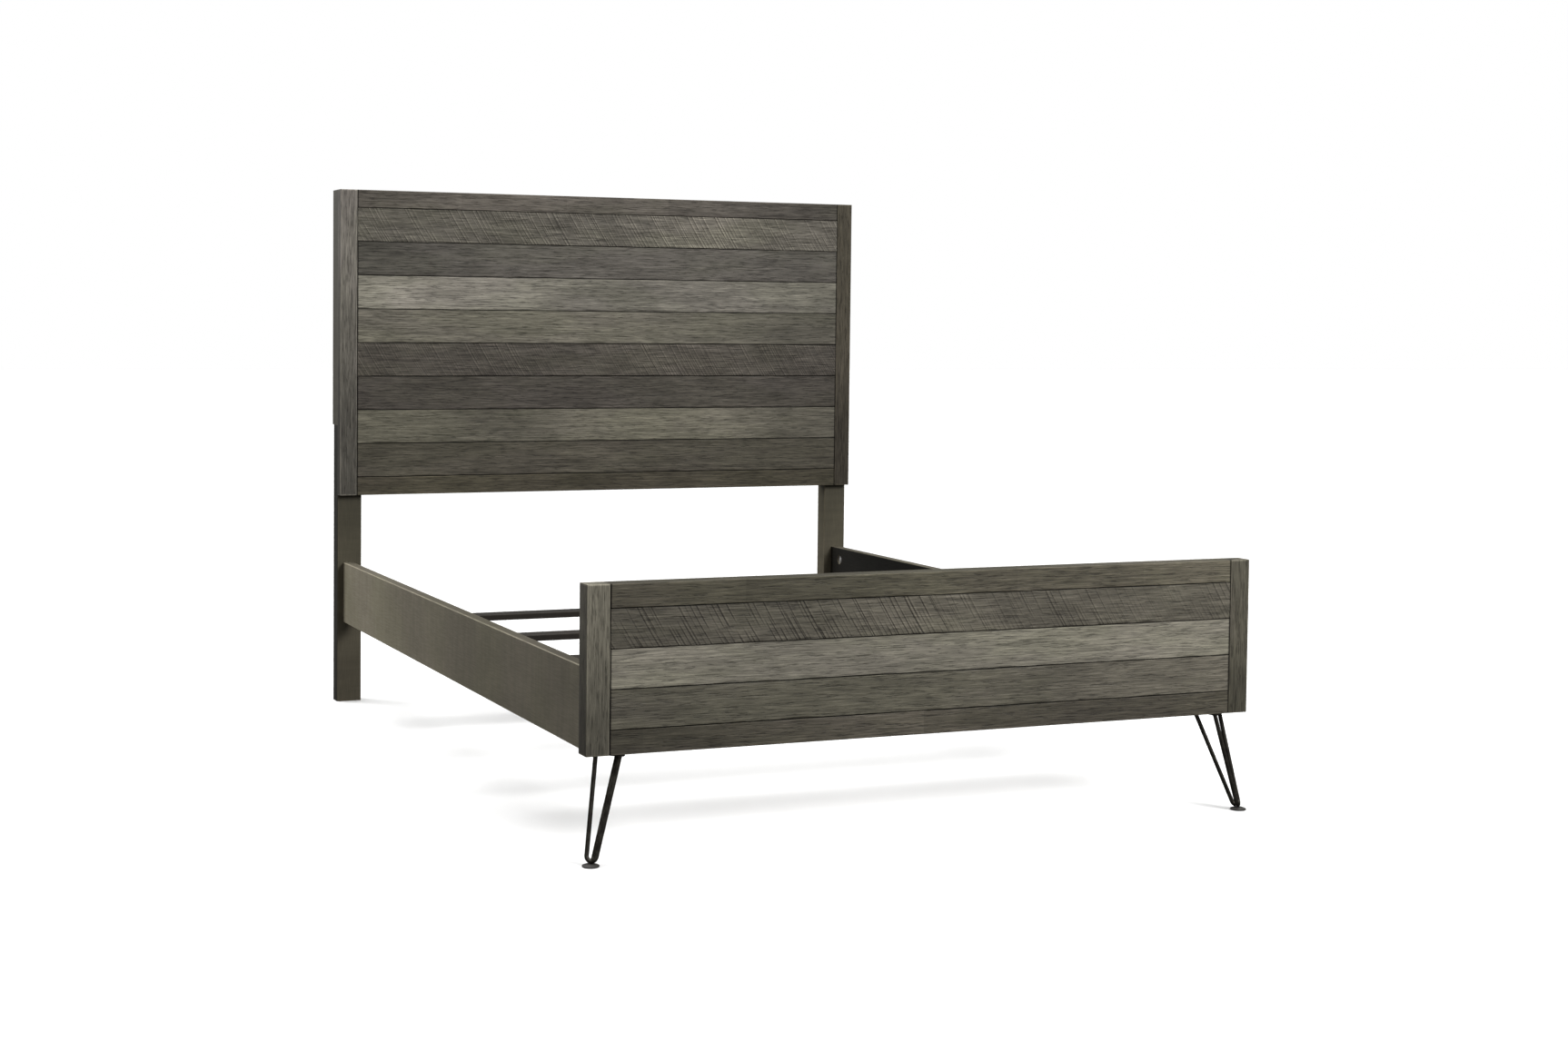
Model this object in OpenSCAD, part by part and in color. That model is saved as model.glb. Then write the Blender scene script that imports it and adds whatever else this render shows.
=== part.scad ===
// Queen bed frame: a plank headboard on two timber legs, a low plank footboard on two
// hairpin legs, side rails bolted between them, and slats screwed down on cleats.
// Millimetres. +Z is up, +X is to the right seen from the foot end, the headboard is
// at +Y, and the origin is on the floor at the middle of the whole frame.

/* [Bed] */
// Clear width between the side rails
clear_w = 1526; // [1380:1:1940]
// Clear length from the footboard to the headboard legs
clear_l = 2055; // [1950:1:2140]

/* [Headboard] */
// Width of the headboard
headboard_w = 1616; // [1560:1:2040]
// Height of the headboard's top edge
headboard_top = 1468; // [1300:1:1600]
// Height of the headboard panel's lower edge
headboard_low = 596; // [520:1:680]
// Thickness of the front frame
front_t = 27; // [24:1:34]
// Depth of the rear frame behind it
rear_t = 64; // [50:1:80]
// Width of the front frame's stiles
headboard_stile_w = 50; // [40:1:70]
// Height of the front frame's top rail
headboard_top_rail_h = 50; // [40:1:70]
// Height of the front frame's bottom rail
headboard_bottom_rail_h = 52; // [40:1:70]
// Width of each headboard leg
leg_w = 70; // [60:1:80]
// Depth of each headboard leg
leg_d = 48; // [44:1:60]
// Height of each headboard leg
leg_h = 796; // [760:1:830]

/* [Footboard] */
// Width of the footboard
footboard_w = 1600; // [1560:1:2020]
// Height of the footboard's top edge
footboard_top = 574; // [500:1:640]
// Height of the footboard's lower edge
footboard_low = 225; // [200:1:228]
// Thickness of the footboard frame
footboard_t = 45; // [42:1:55]
// Width of the footboard's stiles
footboard_stile_w = 51; // [44:1:70]
// Height of the footboard's top rail
footboard_top_rail_h = 50; // [40:1:70]
// Height of the footboard's bottom rail
footboard_bottom_rail_h = 51; // [48:1:70]

/* [Planks] */
// Thickness of the face planks
plank_t = 18; // [12:1:18]
// Thickness of the backing panels
backing_t = 9; // [4:1:9]
// Width of the chamfer on the edge of each plank
groove = 1.5; // [0.5:0.1:3]

/* [Side rails and slats] */
// Thickness of each side rail
rail_t = 27; // [25:1:32]
// Height of each side rail
rail_h = 173; // [150:1:190]
// Height of the side rails' top edge
rail_top = 402; // [380:1:430]
// Height of the top face of the slats
slat_top = 292; // [284:1:320]
// Width of each slat
slat_w = 60; // [50:1:90]
// Thickness of each slat
slat_t = 16; // [12:1:22]

/* [Hairpin legs] */
// Diameter of the steel rod
rod_d = 9.5; // [8:0.5:11]
// Radius of the bend at the foot
bend_r = 11; // [9:0.5:14]
// Radius of the circle of rod tops under the plate
rod_spread = 31.5; // [28:0.5:36]
// Thickness of the mounting plate
plate_t = 4; // [3:0.5:5]
// Diameter of the foot
foot_d = 36; // [30:1:40]
// Height of the foot
foot_h = 6; // [5:0.5:8]

/* [Hidden] */

$fn = 48;
eps = 1;          // overshoot of a cutter past the face it opens
play = 0.1;       // radial clearance of a fastener or dowel in its hole
ease = 2.5;       // rounding of exposed timber edges
small_ease = 1.5; // rounding of slats and cleats

// Layout along the bed
foot_setback = 6; // the foot's centre behind the footboard's face
bed_l = foot_d / 2 - foot_setback + footboard_t + clear_l + rear_t;
face_y = -bed_l / 2 + foot_d / 2 - foot_setback;  // footboard's front face
foot_back_y = face_y + footboard_t;               // footboard's rear face
head_y = foot_back_y + clear_l;                   // headboard legs' front face
panel_y = head_y - front_t;                       // headboard's front face

// Headboard and footboard
headboard_inner = headboard_w / 2 - headboard_stile_w;
headboard_field_low = headboard_low + headboard_bottom_rail_h;
headboard_field_h = headboard_top - headboard_top_rail_h - headboard_field_low;
headboard_planks = 8;
rear_inner = headboard_w / 2 - leg_w;
rear_rail_d = 40;
rear_bottom_rail_h = 60;
rear_brace_w = 70;
footboard_inner = footboard_w / 2 - footboard_stile_w;
footboard_field_low = footboard_low + footboard_bottom_rail_h;
footboard_field_h = footboard_top - footboard_top_rail_h - footboard_field_low;
footboard_planks = 3;

// Dowels across the corner joints of both frames
dowel_d = 10;
dowel_in_stile = 20;
dowel_in_rail = 29;
dowel_spacing = 24;

// Side rails, their bolts and the slats
rail_inner = clear_w / 2;
rail_mid = rail_inner + rail_t / 2;
rail_low = rail_top - rail_h;
bolt_d = 8;
bolt_depth = 36;      // of the wood thread in the leg or stile
bolt_edge = 36;       // from the rail's long edges to the bolt axes
pocket_d = 30;
pocket_in = 60;       // from the rail's end to the pocket's centre
pocket_depth = 22;
nut_flat = 13;
nut_t = 6.5;
half_moon_w = 14;
washer_flat = 7;      // from the pocket's centre to the washer's flat
bolt_over = 4;        // of a hanger bolt past its nut
bolt_l = bolt_depth + pocket_in - washer_flat + nut_t + bolt_over;
cleat_w = 25;
cleat_h = 38;
cleat_gap = 60;       // between each end of a cleat and the end of its rail
cleat_y = [foot_back_y + cleat_gap, head_y - cleat_gap];
cleat_top = slat_top - slat_t;
cleat_screw_count = 6;
slat_count = 4;
slat_pitch = clear_l / (slat_count + 1);
slat_half = rail_inner - 1;
slat_screw_x = rail_inner - cleat_w / 2;

// Leg bolts behind the headboard
leg_bolt_x = headboard_w / 2 - headboard_stile_w / 2;
leg_bolt_z = [headboard_low + 50, headboard_low + 150];
insert_d = 12;
insert_l = 20;
insert_gap = 2;       // from the bolt's end to the insert's end
washer_t = 1.6;
washer_d = 18;
bolt_head_r = 7.5;    // over the corners of the hexagon
bolt_head_t = 5.3;

// Hairpin legs: a cone of three rods that leans out to the corner
rod_r = rod_d / 2;
plate_x = 730;
plate_y = face_y + 43;
plate_z = footboard_low - plate_t;
hairpin_x = 786;
hairpin_y = face_y + foot_setback;
bend_z = foot_h + rod_r + 0.6;                    // centre line at the bottom of the bend
lean_x = plate_x - hairpin_x;
lean_y = plate_y - hairpin_y;
lean_h = plate_z - bend_z;
lean_turn = atan2(lean_y, lean_x);
lean = atan2(norm([lean_x, lean_y]), lean_h);
cone_l = norm([lean_x, lean_y, lean_h]);
rod_turn = 135;                                   // third rod points to the bed's middle
rod_over = 40;                                    // rod left above the plate before trimming
joint_swell = 0.05;                               // how far the joint of prong and bend stands proud
weld_gap = 0.2;                                   // between the third rod's end and the bent rod
prong_x = rod_spread * sin(60);
prong_lean = atan(rod_spread * cos(60) / cone_l);
plate_corner_r = 10;
plate_screw_r = 14;
block_x = [672, rail_inner - 2];
block_d = 56;
block_h = 47;
block_screw_x = [block_x[0] + 13, block_x[1] - 11];

// Screws, each as [length, diameter], and the recess in their heads
recess_w = 1;
recess_share = 0.35;  // of the screw's diameter, for the recess's depth
frame_screw = [82, 6];
short_frame_screw = [58, 6];
block_screw = [block_d + 14, 5];
plate_screw = [30, 4.5];
cleat_screw = [45, 5];
slat_screw = [35, 4.5];
frame_screw_inset = 60;  // of the end screws from the ends of the rear stiles
block_screw_up = 23;     // above the footboard's lower edge
cleat_screw_inset = 70;  // of the end screws from the ends of a cleat

headboard_tones = ["#57524c", "#58534d", "#7a776b", "#78756a", "#55514b", "#5b564f", "#757267", "#66625a"];
footboard_tones = ["#5f5b52", "#7b786c", "#6a675d"];
frame_tone = "#625f55";
rail_tone = "#56534a";
leg_tone = "#4a463f";
raw_wood = "#a58c66";
steel_tone = "#8d9094";
black_tone = "#2b2a28";

// Unit vector at an angle in the XY plane
function along(t) = [cos(t), sin(t)];

// Corner points of a rectangle with rounded corners, in x and y
function corner(cx, cy, r, from) = [for (i = [0:4]) [cx, cy] + r * along(from + i * 22.5)];
function eased(a, b, r) = concat(
    corner(b[0] - r, b[1] - r, r, 0), corner(a[0] + r, b[1] - r, r, 90),
    corner(a[0] + r, a[1] + r, r, 180), corner(b[0] - r, a[1] + r, r, 270));

// Angle of a straight prong that is tangent to the bend and ends at (x, h)
function prong_angle(x, h) = atan(x / (h - bend_r)) - asin(bend_r / norm([x, h - bend_r]));

module block_between(a, b) {
    translate(a) cube(b - a);
}

// Boards with long eased edges, running up, across and along the bed
module upright(a, b, r = ease) {
    translate([0, 0, a[2]]) linear_extrude(b[2] - a[2]) polygon(eased([a[0], a[1]], [b[0], b[1]], r));
}

module crossways(a, b, r = ease) {
    translate([a[0], 0, 0]) rotate([90, 0, 90]) linear_extrude(b[0] - a[0])
        polygon(eased([a[1], a[2]], [b[1], b[2]], r));
}

module lengthways(a, b, r = ease) {
    translate([0, b[1], 0]) rotate([90, 0, 0]) linear_extrude(b[1] - a[1])
        polygon(eased([a[0], a[2]], [b[0], b[2]], r));
}

// A face plank whose front edges are chamfered, so that two of them leave a V-groove
module plank(half_w, y, z, h) {
    translate([-half_w, 0, 0]) rotate([90, 0, 90]) linear_extrude(2 * half_w)
        polygon([[y + groove, z], [y + plank_t, z], [y + plank_t, z + h],
                 [y + groove, z + h], [y, z + h - groove], [y, z + groove]]);
}

// A countersunk wood screw from the origin along -Z, with its head's top at z = 0: a cross-recessed
// screw, or where grow is above 0 the solid that clears it
module wood_screw(l, d, grow = 0) {
    head_r = d + grow;
    r = d / 2 + grow;
    difference() {
        rotate_extrude() polygon([[0, 0], [head_r, 0], [r, -head_r + r], [r, -l + d], [0, -l - grow]]);
        if (grow == 0) for (turn = [0, 90]) rotate([0, 0, turn])
            translate([-d / 2, -recess_w / 2, -recess_share * d]) cube([d, recess_w, d]);
    }
}

module along_x(p, r, l) {
    translate(p) rotate([0, 90, 0]) cylinder(h = l, r = r);
}

module along_y(p, r, l) {
    translate(p) rotate([-90, 0, 0]) cylinder(h = l, r = r);
}

module both_sides() {
    children();
    mirror([1, 0, 0]) children();
}

// Turns a right-hand piece into a left-hand one where side is -1
module on_side(side) {
    mirror([side < 0 ? 1 : 0, 0, 0]) children();
}

// Dowels for one frame: a pair at each end of its two rails
module frame_dowels(inner, y, rail_z, grow) {
    both_sides() for (z = rail_z) for (s = [-0.5, 0.5])
        along_x([inner - dowel_in_rail - grow, y, z + s * dowel_spacing],
                dowel_d / 2 + grow, dowel_in_rail + dowel_in_stile + 2 * grow);
}

headboard_rail_z = [headboard_top - headboard_top_rail_h / 2, headboard_low + headboard_bottom_rail_h / 2];
footboard_rail_z = [footboard_top - footboard_top_rail_h / 2, footboard_low + footboard_bottom_rail_h / 2];

module headboard_dowel_set(grow) {
    frame_dowels(headboard_inner, panel_y + front_t / 2, headboard_rail_z, grow);
}

module footboard_dowel_set(grow) {
    frame_dowels(footboard_inner, face_y + footboard_t / 2, footboard_rail_z, grow);
}

// Screws from behind through the rear frame into the front frame
rear_screw_z = [leg_h + frame_screw_inset, (leg_h + headboard_top) / 2, headboard_top - frame_screw_inset];
rear_screw_x = [150, 560];

module rear_screw(x, y, z, size, grow) {
    translate([x, y, z]) rotate([-90, 0, 0]) wood_screw(size[0], size[1], grow);
}

module frame_screw_set(grow) {
    both_sides() {
        for (z = rear_screw_z) rear_screw(leg_bolt_x, head_y + rear_t, z, frame_screw, grow);
        for (x = rear_screw_x) {
            rear_screw(x, head_y + rear_t, headboard_rail_z[0], frame_screw, grow);
            rear_screw(x, head_y + rear_rail_d, headboard_rail_z[1], short_frame_screw, grow);
        }
    }
}

// Headboard
module headboard_stile(side) {
    color(frame_tone) on_side(side) difference() {
        upright([headboard_inner, panel_y, headboard_low], [headboard_w / 2, head_y, headboard_top]);
        headboard_dowel_set(play);
        frame_screw_set(play);
        for (z = leg_bolt_z) along_y([leg_bolt_x, head_y - insert_l, z], insert_d / 2 + play, insert_l + eps);
    }
}

module headboard_top_rail() {
    color(frame_tone) difference() {
        crossways([-headboard_inner, panel_y, headboard_top - headboard_top_rail_h],
                  [headboard_inner, head_y, headboard_top], groove);
        headboard_dowel_set(play);
        frame_screw_set(play);
    }
}

module headboard_bottom_rail() {
    color(frame_tone) difference() {
        crossways([-headboard_inner, panel_y, headboard_low],
                  [headboard_inner, head_y, headboard_low + headboard_bottom_rail_h], groove);
        headboard_dowel_set(play);
        frame_screw_set(play);
    }
}

module headboard_plank(n) {
    h = headboard_field_h / headboard_planks;
    z = headboard_field_low + (headboard_planks - n) * h;
    color(headboard_tones[n - 1]) plank(headboard_inner, panel_y, z, h);
}

module headboard_backing() {
    color(raw_wood) block_between([-headboard_inner, panel_y + plank_t, headboard_field_low],
                                    [headboard_inner, panel_y + plank_t + backing_t,
                                     headboard_field_low + headboard_field_h]);
}

module headboard_rear_stile(side) {
    color(leg_tone) on_side(side) difference() {
        upright([rear_inner, head_y, leg_h], [headboard_w / 2, head_y + rear_t, headboard_top]);
        frame_screw_set(play);
    }
}

module headboard_rear_top_rail() {
    color(leg_tone) difference() {
        crossways([-rear_inner, head_y, headboard_top - headboard_top_rail_h],
                  [rear_inner, head_y + rear_t, headboard_top], groove);
        frame_screw_set(play);
    }
}

module headboard_rear_bottom_rail() {
    color(leg_tone) difference() {
        crossways([-rear_inner, head_y, headboard_low],
                  [rear_inner, head_y + rear_rail_d, headboard_low + rear_bottom_rail_h], groove);
        frame_screw_set(play);
    }
}

module headboard_rear_brace() {
    color(leg_tone) upright([-rear_brace_w / 2, head_y, headboard_low + rear_bottom_rail_h],
                              [rear_brace_w / 2, head_y + rear_rail_d, headboard_top - headboard_top_rail_h]);
}

module headboard_dowels() {
    color(raw_wood) headboard_dowel_set(0);
}

module headboard_frame_screws() {
    color(steel_tone) frame_screw_set(0);
}

// Headboard legs and the bolts that hold them
module headboard_leg(side) {
    color(leg_tone) on_side(side) difference() {
        upright([rear_inner, head_y, 0], [headboard_w / 2, head_y + leg_d, leg_h]);
        for (z = leg_bolt_z) along_y([leg_bolt_x, head_y - eps, z], bolt_d / 2 + play, leg_d + 2 * eps);
        rail_bolt_set(play);
    }
}

module leg_bolts() {
    color(steel_tone) both_sides() for (z = leg_bolt_z) union() {
        along_y([leg_bolt_x, head_y - insert_l + insert_gap, z], bolt_d / 2,
                leg_d + insert_l - insert_gap + washer_t);
        translate([leg_bolt_x, head_y + leg_d + washer_t, z]) rotate([-90, 0, 0])
            cylinder(h = bolt_head_t, r = bolt_head_r, $fn = 6);
    }
}

module leg_bolt_washers() {
    color(steel_tone) both_sides() for (z = leg_bolt_z) difference() {
        along_y([leg_bolt_x, head_y + leg_d, z], washer_d / 2, washer_t);
        along_y([leg_bolt_x, head_y + leg_d - eps, z], bolt_d / 2 + play, washer_t + 2 * eps);
    }
}

module leg_bolt_inserts() {
    color(steel_tone) both_sides() for (z = leg_bolt_z) difference() {
        along_y([leg_bolt_x, head_y - insert_l, z], insert_d / 2, insert_l);
        along_y([leg_bolt_x, head_y - insert_l - eps, z], bolt_d / 2 + play, insert_l + 2 * eps);
    }
}

// Footboard
module footboard_stile(side) {
    color(frame_tone) on_side(side) difference() {
        upright([footboard_inner, face_y, footboard_low], [footboard_w / 2, foot_back_y, footboard_top]);
        footboard_dowel_set(play);
        rail_bolt_set(play);
    }
}

module footboard_top_rail() {
    color(frame_tone) difference() {
        crossways([-footboard_inner, face_y, footboard_top - footboard_top_rail_h],
                  [footboard_inner, foot_back_y, footboard_top], groove);
        footboard_dowel_set(play);
    }
}

module footboard_bottom_rail() {
    color(frame_tone) difference() {
        crossways([-footboard_inner, face_y, footboard_low],
                  [footboard_inner, foot_back_y, footboard_low + footboard_bottom_rail_h], groove);
        footboard_dowel_set(play);
        block_screw_set(play);
        plate_screw_set(play);
    }
}

module footboard_plank(n) {
    h = footboard_field_h / footboard_planks;
    z = footboard_field_low + (footboard_planks - n) * h;
    color(footboard_tones[n - 1]) plank(footboard_inner, face_y, z, h);
}

module footboard_backing() {
    color(raw_wood) block_between([-footboard_inner, face_y + plank_t, footboard_field_low],
                                    [footboard_inner, face_y + plank_t + backing_t,
                                     footboard_field_low + footboard_field_h]);
}

module footboard_dowels() {
    color(raw_wood) footboard_dowel_set(0);
}

// Corner blocks that carry the hairpin plates behind the footboard
module block_screw_set(grow) {
    both_sides() for (x = block_screw_x)
        rear_screw(x, foot_back_y + block_d, footboard_low + block_screw_up, block_screw, grow);
}

module leg_block(side) {
    color(leg_tone) on_side(side) difference() {
        block_between([block_x[0], foot_back_y, footboard_low],
                      [block_x[1], foot_back_y + block_d, footboard_low + block_h]);
        block_screw_set(play);
        plate_screw_set(play);
    }
}

module leg_block_screws() {
    color(steel_tone) block_screw_set(0);
}

// Hairpin legs
module plate_screw_set(grow) {
    both_sides() for (i = [0:2])
        translate([plate_x, plate_y, plate_z]) translate(plate_screw_r * along(rod_turn + 60 + 120 * i))
            rotate([180, 0, 0]) wood_screw(plate_screw[0], plate_screw[1], grow);
}

module hairpin_plate(side) {
    color(black_tone) on_side(side) difference() {
        translate([plate_x, plate_y, plate_z]) rotate([0, 0, rod_turn]) linear_extrude(plate_t)
            polygon([for (i = [0:2]) for (t = [-60:12:60])
                rod_spread * along(120 * i) + plate_corner_r * along(120 * i + t)]);
        plate_screw_set(play);
    }
}

// Stands a leg's own frame on its foot, leaning to the plate, and trims it under the plate
module lean_to_plate() {
    difference() {
        translate([hairpin_x, hairpin_y, bend_z]) rotate([0, 0, lean_turn]) rotate([0, lean, 0])
            rotate([0, 0, rod_turn - lean_turn]) children();
        block_between([plate_x - 100, plate_y - 100, plate_z], [plate_x + 100, plate_y + 100, plate_z + 100]);
    }
}

// One prong: from the tangent point of the bend up and out, with a ball that fuses the two
module prong(x) {
    a = prong_angle(x, cone_l);
    translate([bend_r * cos(a), 0, bend_r - bend_r * sin(a)]) {
        sphere(rod_r + joint_swell);
        rotate([0, a, 0]) cylinder(h = cone_l + rod_over, r = rod_r);
    }
}

// The bend at the foot, from one angle below the level of its centre to another
module bend(from, to) {
    translate([0, 0, bend_r]) rotate([90, 0, 0]) rotate([0, 0, -to])
        rotate_extrude(angle = to - from) translate([bend_r, 0]) circle(rod_r);
}

module hairpin_bent_rod(side) {
    a = prong_angle(prong_x, cone_l);
    color(black_tone) on_side(side) lean_to_plate()
        rotate([0, -prong_lean, 0]) rotate([0, 0, 90]) union() {
            prong(prong_x);
            mirror([1, 0, 0]) prong(prong_x);
            bend(a, 180 - a);
        }
}

// The third rod stops where it is welded to the side of the bend
module hairpin_third_rod(side) {
    a = prong_angle(rod_spread, cone_l);
    stop = acos((rod_r + weld_gap) / bend_r);
    color(black_tone) on_side(side) lean_to_plate() union() {
        prong(rod_spread);
        bend(a, stop);
    }
}

module hairpin_foot(side) {
    r = foot_d / 2;
    color(black_tone) on_side(side) translate([hairpin_x, hairpin_y, 0]) rotate_extrude()
        polygon([[0, 0], [r - 1.5, 0], [r, 1.2], [r, 3], [r - 1, 3.8], [r - 7, foot_h], [0, foot_h]]);
}

module hairpin_plate_screws() {
    color(steel_tone) plate_screw_set(0);
}

// Side rails: hanger bolts come out of the legs and stiles into round pockets in the rails
rail_bolt_z = [rail_low + bolt_edge, rail_top - bolt_edge];

module hanger_bolt(grow = 0) {
    translate([0, 0, -bolt_depth - grow]) cylinder(h = 5 + grow, r1 = 1.5 + grow, r2 = bolt_d / 2 + grow);
    translate([0, 0, -bolt_depth + 5]) cylinder(h = bolt_l - 5, r = bolt_d / 2 + grow);
}

// Runs its children at each rail end, with the origin on the joint and +Z into the rail
module at_head_joints() {
    both_sides() for (z = rail_bolt_z) translate([rail_mid, head_y, z]) rotate([90, 0, 0]) children();
}

module at_foot_joints() {
    both_sides() for (z = rail_bolt_z) translate([rail_mid, foot_back_y, z]) rotate([-90, 0, 0]) children();
}

module rail_bolt_set(grow) {
    at_head_joints() hanger_bolt(grow);
    at_foot_joints() hanger_bolt(grow);
}

module side_rail(side) {
    color(rail_tone) on_side(side) difference() {
        lengthways([rail_inner, foot_back_y, rail_low], [rail_inner + rail_t, head_y, rail_top]);
        for (z = rail_bolt_z) {
            along_y([rail_mid, foot_back_y - eps, z], bolt_d / 2 + 0.6, pocket_in + eps);
            along_y([rail_mid, head_y - pocket_in, z], bolt_d / 2 + 0.6, pocket_in + eps);
            for (y = [foot_back_y + pocket_in, head_y - pocket_in])
                along_x([rail_inner - eps, y, z], pocket_d / 2, pocket_depth + eps);
        }
        cleat_screw_set(play);
    }
}

module headboard_rail_bolts() {
    color(steel_tone) at_head_joints() hanger_bolt();
}

module footboard_rail_bolts() {
    color(steel_tone) at_foot_joints() hanger_bolt();
}

// The part of a disc in the pocket that lies beyond the nut, drilled for the bolt
module half_moon_washer() {
    translate([0, 0, pocket_in]) difference() {
        rotate([0, 90, 0]) translate([0, 0, -half_moon_w / 2])
            cylinder(h = half_moon_w, r = pocket_d / 2 - play);
        translate([-half_moon_w, -pocket_d, -washer_flat]) cube([2 * half_moon_w, 2 * pocket_d, pocket_d]);
        translate([0, 0, -pocket_d]) cylinder(h = pocket_d, r = bolt_d / 2 + play);
    }
}

module half_moon_washers() {
    color(steel_tone) {
        at_head_joints() half_moon_washer();
        at_foot_joints() half_moon_washer();
    }
}

module rail_bolt_nut() {
    translate([0, 0, pocket_in - washer_flat]) difference() {
        cylinder(h = nut_t, r = nut_flat / 2 / cos(30), $fn = 6);
        translate([0, 0, -eps]) cylinder(h = nut_t + 2 * eps, r = bolt_d / 2 + play);
    }
}

module rail_bolt_nuts() {
    color(steel_tone) {
        at_head_joints() rail_bolt_nut();
        at_foot_joints() rail_bolt_nut();
    }
}

// Cleats and slats
function slat_y(n) = head_y - n * slat_pitch;
cleat_screw_y = [cleat_y[0] + cleat_screw_inset, cleat_y[1] - cleat_screw_inset];
cleat_screw_pitch = (cleat_screw_y[1] - cleat_screw_y[0]) / (cleat_screw_count - 1);

module cleat_screw_set(grow) {
    both_sides() for (n = [0:cleat_screw_count - 1])
        translate([rail_inner - cleat_w, cleat_screw_y[0] + n * cleat_screw_pitch, cleat_top - cleat_h / 2])
            rotate([0, -90, 0]) wood_screw(cleat_screw[0], cleat_screw[1], grow);
}

module slat_screw_set(grow) {
    both_sides() for (n = [1:slat_count])
        translate([slat_screw_x, slat_y(n), slat_top]) wood_screw(slat_screw[0], slat_screw[1], grow);
}

module slat_cleat(side) {
    color(raw_wood) on_side(side) difference() {
        lengthways([rail_inner - cleat_w, cleat_y[0], cleat_top - cleat_h],
                   [rail_inner, cleat_y[1], cleat_top], small_ease);
        cleat_screw_set(play);
        slat_screw_set(play);
    }
}

module cleat_screws() {
    color(steel_tone) cleat_screw_set(0);
}

module slat(n) {
    color(leg_tone) difference() {
        crossways([-slat_half, slat_y(n) - slat_w / 2, cleat_top],
                  [slat_half, slat_y(n) + slat_w / 2, slat_top], small_ease);
        slat_screw_set(play);
    }
}

module slat_screws() {
    color(steel_tone) slat_screw_set(0);
}

headboard_stile(-1);  // headboard_left_stile
headboard_stile(1);  // headboard_right_stile
headboard_top_rail();
headboard_bottom_rail();
headboard_plank(1);  // headboard_plank_1
headboard_plank(2);  // headboard_plank_2
headboard_plank(3);  // headboard_plank_3
headboard_plank(4);  // headboard_plank_4
headboard_plank(5);  // headboard_plank_5
headboard_plank(6);  // headboard_plank_6
headboard_plank(7);  // headboard_plank_7
headboard_plank(8);  // headboard_plank_8
headboard_backing();
headboard_rear_stile(-1);  // headboard_rear_left_stile
headboard_rear_stile(1);  // headboard_rear_right_stile
headboard_rear_top_rail();
headboard_rear_bottom_rail();
headboard_rear_brace();
headboard_dowels();
headboard_frame_screws();
headboard_leg(-1);  // headboard_left_leg
headboard_leg(1);  // headboard_right_leg
leg_bolts();
leg_bolt_washers();
leg_bolt_inserts();
footboard_stile(-1);  // footboard_left_stile
footboard_stile(1);  // footboard_right_stile
footboard_top_rail();
footboard_bottom_rail();
footboard_plank(1);  // footboard_plank_1
footboard_plank(2);  // footboard_plank_2
footboard_plank(3);  // footboard_plank_3
footboard_backing();
footboard_dowels();
leg_block(-1);  // left_leg_block
leg_block(1);  // right_leg_block
leg_block_screws();
hairpin_plate(-1);  // left_hairpin_plate
hairpin_plate(1);  // right_hairpin_plate
hairpin_bent_rod(-1);  // left_hairpin_bent_rod
hairpin_bent_rod(1);  // right_hairpin_bent_rod
hairpin_third_rod(-1);  // left_hairpin_third_rod
hairpin_third_rod(1);  // right_hairpin_third_rod
hairpin_foot(-1);  // left_hairpin_foot
hairpin_foot(1);  // right_hairpin_foot
hairpin_plate_screws();
side_rail(-1);  // left_side_rail
side_rail(1);  // right_side_rail
headboard_rail_bolts();
footboard_rail_bolts();
half_moon_washers();
rail_bolt_nuts();
slat_cleat(-1);  // left_slat_cleat
slat_cleat(1);  // right_slat_cleat
cleat_screws();
slat(1);  // slat_1
slat(2);  // slat_2
slat(3);  // slat_3
slat(4);  // slat_4
slat_screws();
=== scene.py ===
"""Looks of the queen bed frame: weathered planks and boards, stained rails and legs, steel hairpin legs
and zinc hardware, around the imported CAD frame. Metres, with the headboard at +Y and the floor at z = 0."""

import math

import bpy
import numpy as np
from mathutils import Matrix, Vector


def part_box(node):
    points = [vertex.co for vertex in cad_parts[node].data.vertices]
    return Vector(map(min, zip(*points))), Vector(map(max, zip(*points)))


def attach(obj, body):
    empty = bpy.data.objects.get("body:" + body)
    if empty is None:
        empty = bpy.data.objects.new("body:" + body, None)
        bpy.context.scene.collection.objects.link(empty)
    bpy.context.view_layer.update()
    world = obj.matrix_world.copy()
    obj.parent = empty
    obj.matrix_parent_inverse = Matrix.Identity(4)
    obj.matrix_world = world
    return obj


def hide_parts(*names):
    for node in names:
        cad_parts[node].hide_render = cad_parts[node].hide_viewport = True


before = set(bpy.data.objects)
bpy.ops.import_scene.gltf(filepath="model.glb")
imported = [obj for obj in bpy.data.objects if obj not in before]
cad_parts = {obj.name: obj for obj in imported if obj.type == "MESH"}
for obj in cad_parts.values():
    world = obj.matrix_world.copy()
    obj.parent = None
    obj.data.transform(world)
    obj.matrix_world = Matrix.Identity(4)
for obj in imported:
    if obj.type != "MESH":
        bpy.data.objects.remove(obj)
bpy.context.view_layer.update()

X, Y, Z = 0, 1, 2
MM = 0.001
SKY_LIGHT, GROUND_LIGHT = 0.34, 0.1


# ---------------------------------------------------------------- camera, light and floor

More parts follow.
